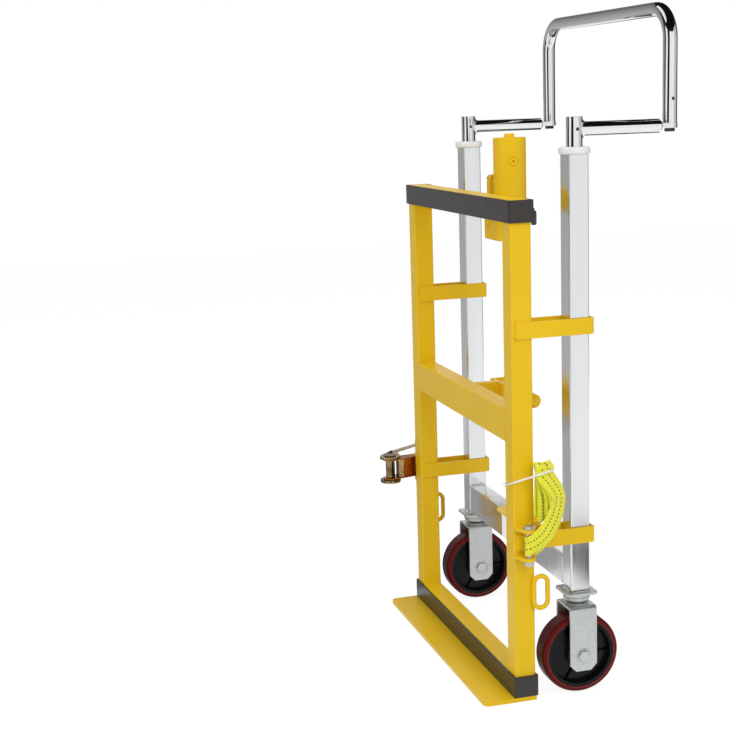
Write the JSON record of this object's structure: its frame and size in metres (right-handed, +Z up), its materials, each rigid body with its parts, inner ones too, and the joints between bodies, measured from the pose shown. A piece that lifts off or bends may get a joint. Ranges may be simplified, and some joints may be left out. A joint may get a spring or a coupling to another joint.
{
  "type": "hydraulic lift cart",
  "caption": "Upright lift cart with caster columns, a sliding load frame with toe plate and pads, a hand pumped hydraulic ram, a push handle, a ratchet and strap webbing.",
  "frame": {"origin": "on the floor, at mid-width, under the front face of the rubber pads", "axes": "+X to the right of a person pushing the cart, +Y forward to the load, +Z up"},
  "size_m": [0.7288, 0.4113, 1.2703],
  "materials": {
    "yellow_paint": "gloss powder coat",
    "chrome_tube": "plated, soft vertical reflections",
    "chrome_handle": "mirror plated",
    "zinc": "bright zinc plate",
    "steel": "ground steel",
    "dark_steel": "black oxide",
    "gold_zinc": "yellow zinc plate",
    "black_rubber": "matte",
    "tread": "satin polyurethane",
    "wheel_core": "gloss black",
    "nylon": "satin white",
    "webbing": "woven polyester"
  },
  "bodies": {
    "wheel_frame": {"column_left": "chrome_tube", "column_right": "chrome_tube", "crossbeam": "chrome_tube", "caster_plates": "zinc", "swivel_cups": "zinc", "kingpins": "zinc", "column_bushings": "nylon", "jack_foot": "yellow_paint", "foot_bolts": "zinc", "ram_rod": "chrome_tube", "ram_piston": "steel"},
    "load_frame": {"upright_left": "yellow_paint", "upright_right": "yellow_paint", "top_rail": "yellow_paint", "mid_rail": "yellow_paint", "bottom_rail": "yellow_paint", "toe_plate": "yellow_paint", "top_pad": "black_rubber", "bottom_pad": "black_rubber", "pad_rivets": "black_rubber", "guides_left": "yellow_paint", "guides_right": "yellow_paint", "strap_rings": "yellow_paint", "strap_tabs": "yellow_paint", "strap_bolts": "zinc", "ram_cylinder": "yellow_paint", "gland_nut": "yellow_paint", "clamp_block": "yellow_paint", "jack_bracket": "yellow_paint", "bracket_bolts": "yellow_paint", "pump_block": "yellow_paint", "reservoir": "yellow_paint", "hydraulic_plugs": "yellow_paint", "plunger_sleeve": "yellow_paint", "fulcrum_pin": "steel", "webbing_hank": "webbing", "zip_tie": "nylon"},
    "push_handle": {"handle_arm_left": "chrome_handle", "handle_arm_right": "chrome_handle", "handle_bow": "chrome_handle", "handle_bolts": "dark_steel"},
    "caster_left": {"fork_left": "zinc", "axle_left": "zinc"},
    "wheel_left": {"wheel_core_left": "wheel_core", "tread_left": "tread", "wheel_bearings_left": "steel"},
    "caster_right": {"fork_right": "zinc", "axle_right": "zinc"},
    "wheel_right": {"wheel_core_right": "wheel_core", "tread_right": "tread", "wheel_bearings_right": "steel"},
    "pump_lever": {"pump_lever": "yellow_paint"},
    "pump_plunger": {"pump_plunger": "steel"},
    "release_valve": {"release_valve": "zinc"},
    "ratchet": {"ratchet_frame": "gold_zinc", "ratchet_lock": "dark_steel"},
    "ratchet_spool": {"ratchet_spool": "gold_zinc"},
    "ratchet_handle": {"ratchet_handle": "gold_zinc", "ratchet_grip": "black_rubber"},
    "drive_pawl": {"drive_pawl": "gold_zinc"}
  },
  "joints": [
    {"name": "lift", "type": "slide", "parent": "wheel_frame", "child": "load_frame", "axis": [0, 0, 1], "range_m": [0, 0.25]},
    {"name": "handle_lift_off", "type": "slide", "parent": "wheel_frame", "child": "push_handle", "axis": [0, 0, 1], "range_m": [0, 0.12]},
    {"name": "caster_swivel_left", "type": "hinge", "parent": "wheel_frame", "child": "caster_left", "pos_m": [-0.275, -0.136, 0.17], "axis": [0, 0, 1], "continuous": true},
    {"name": "wheel_spin_left", "type": "hinge", "parent": "caster_left", "child": "wheel_left", "pos_m": [-0.275, -0.136, 0.0762], "axis": [1, 0, 0], "continuous": true},
    {"name": "caster_swivel_right", "type": "hinge", "parent": "wheel_frame", "child": "caster_right", "pos_m": [0.275, -0.136, 0.17], "axis": [0, 0, 1], "continuous": true},
    {"name": "wheel_spin_right", "type": "hinge", "parent": "caster_right", "child": "wheel_right", "pos_m": [0.275, -0.136, 0.0762], "axis": [1, 0, 0], "continuous": true},
    {"name": "lever_swing", "type": "hinge", "parent": "load_frame", "child": "pump_lever", "pos_m": [0.048, -0.10454, 0.95063], "axis": [-1, 0, 0], "range_deg": [0, 40]},
    {"name": "plunger_stroke", "type": "slide", "parent": "load_frame", "child": "pump_plunger", "axis": [0, 0, 1], "range_m": [0, 0.01525]},
    {"name": "valve_turn", "type": "hinge", "parent": "load_frame", "child": "release_valve", "pos_m": [-0.015, -0.1605, 0.874], "axis": [0, -1, 0], "range_deg": [0, 180]},
    {"name": "ratchet_swing", "type": "hinge", "parent": "load_frame", "child": "ratchet", "pos_m": [0.318, -0.024, 0.309], "axis": [0, 0, 1], "range_deg": [-37, 3]},
    {"name": "spool_turn", "type": "hinge", "parent": "ratchet", "child": "ratchet_spool", "pos_m": [0.30178, 0.0523, 0.309], "axis": [0, 0, 1], "continuous": true},
    {"name": "ratchet_handle_swing", "type": "hinge", "parent": "ratchet", "child": "ratchet_handle", "pos_m": [0.30178, 0.0523, 0.309], "axis": [0, 0, 1], "range_deg": [-20, 130]},
    {"name": "pawl_pull", "type": "slide", "parent": "ratchet_handle", "child": "drive_pawl", "axis": [0.6659, -0.746, 0], "range_m": [0, 0.004], "stiffness_N_per_m": 400, "springref_m": -0.004}
  ],
  "couplings": [
    {"joint": "plunger_stroke", "follows": "lever_swing", "m_per_rad": 0.02185}
  ]
}
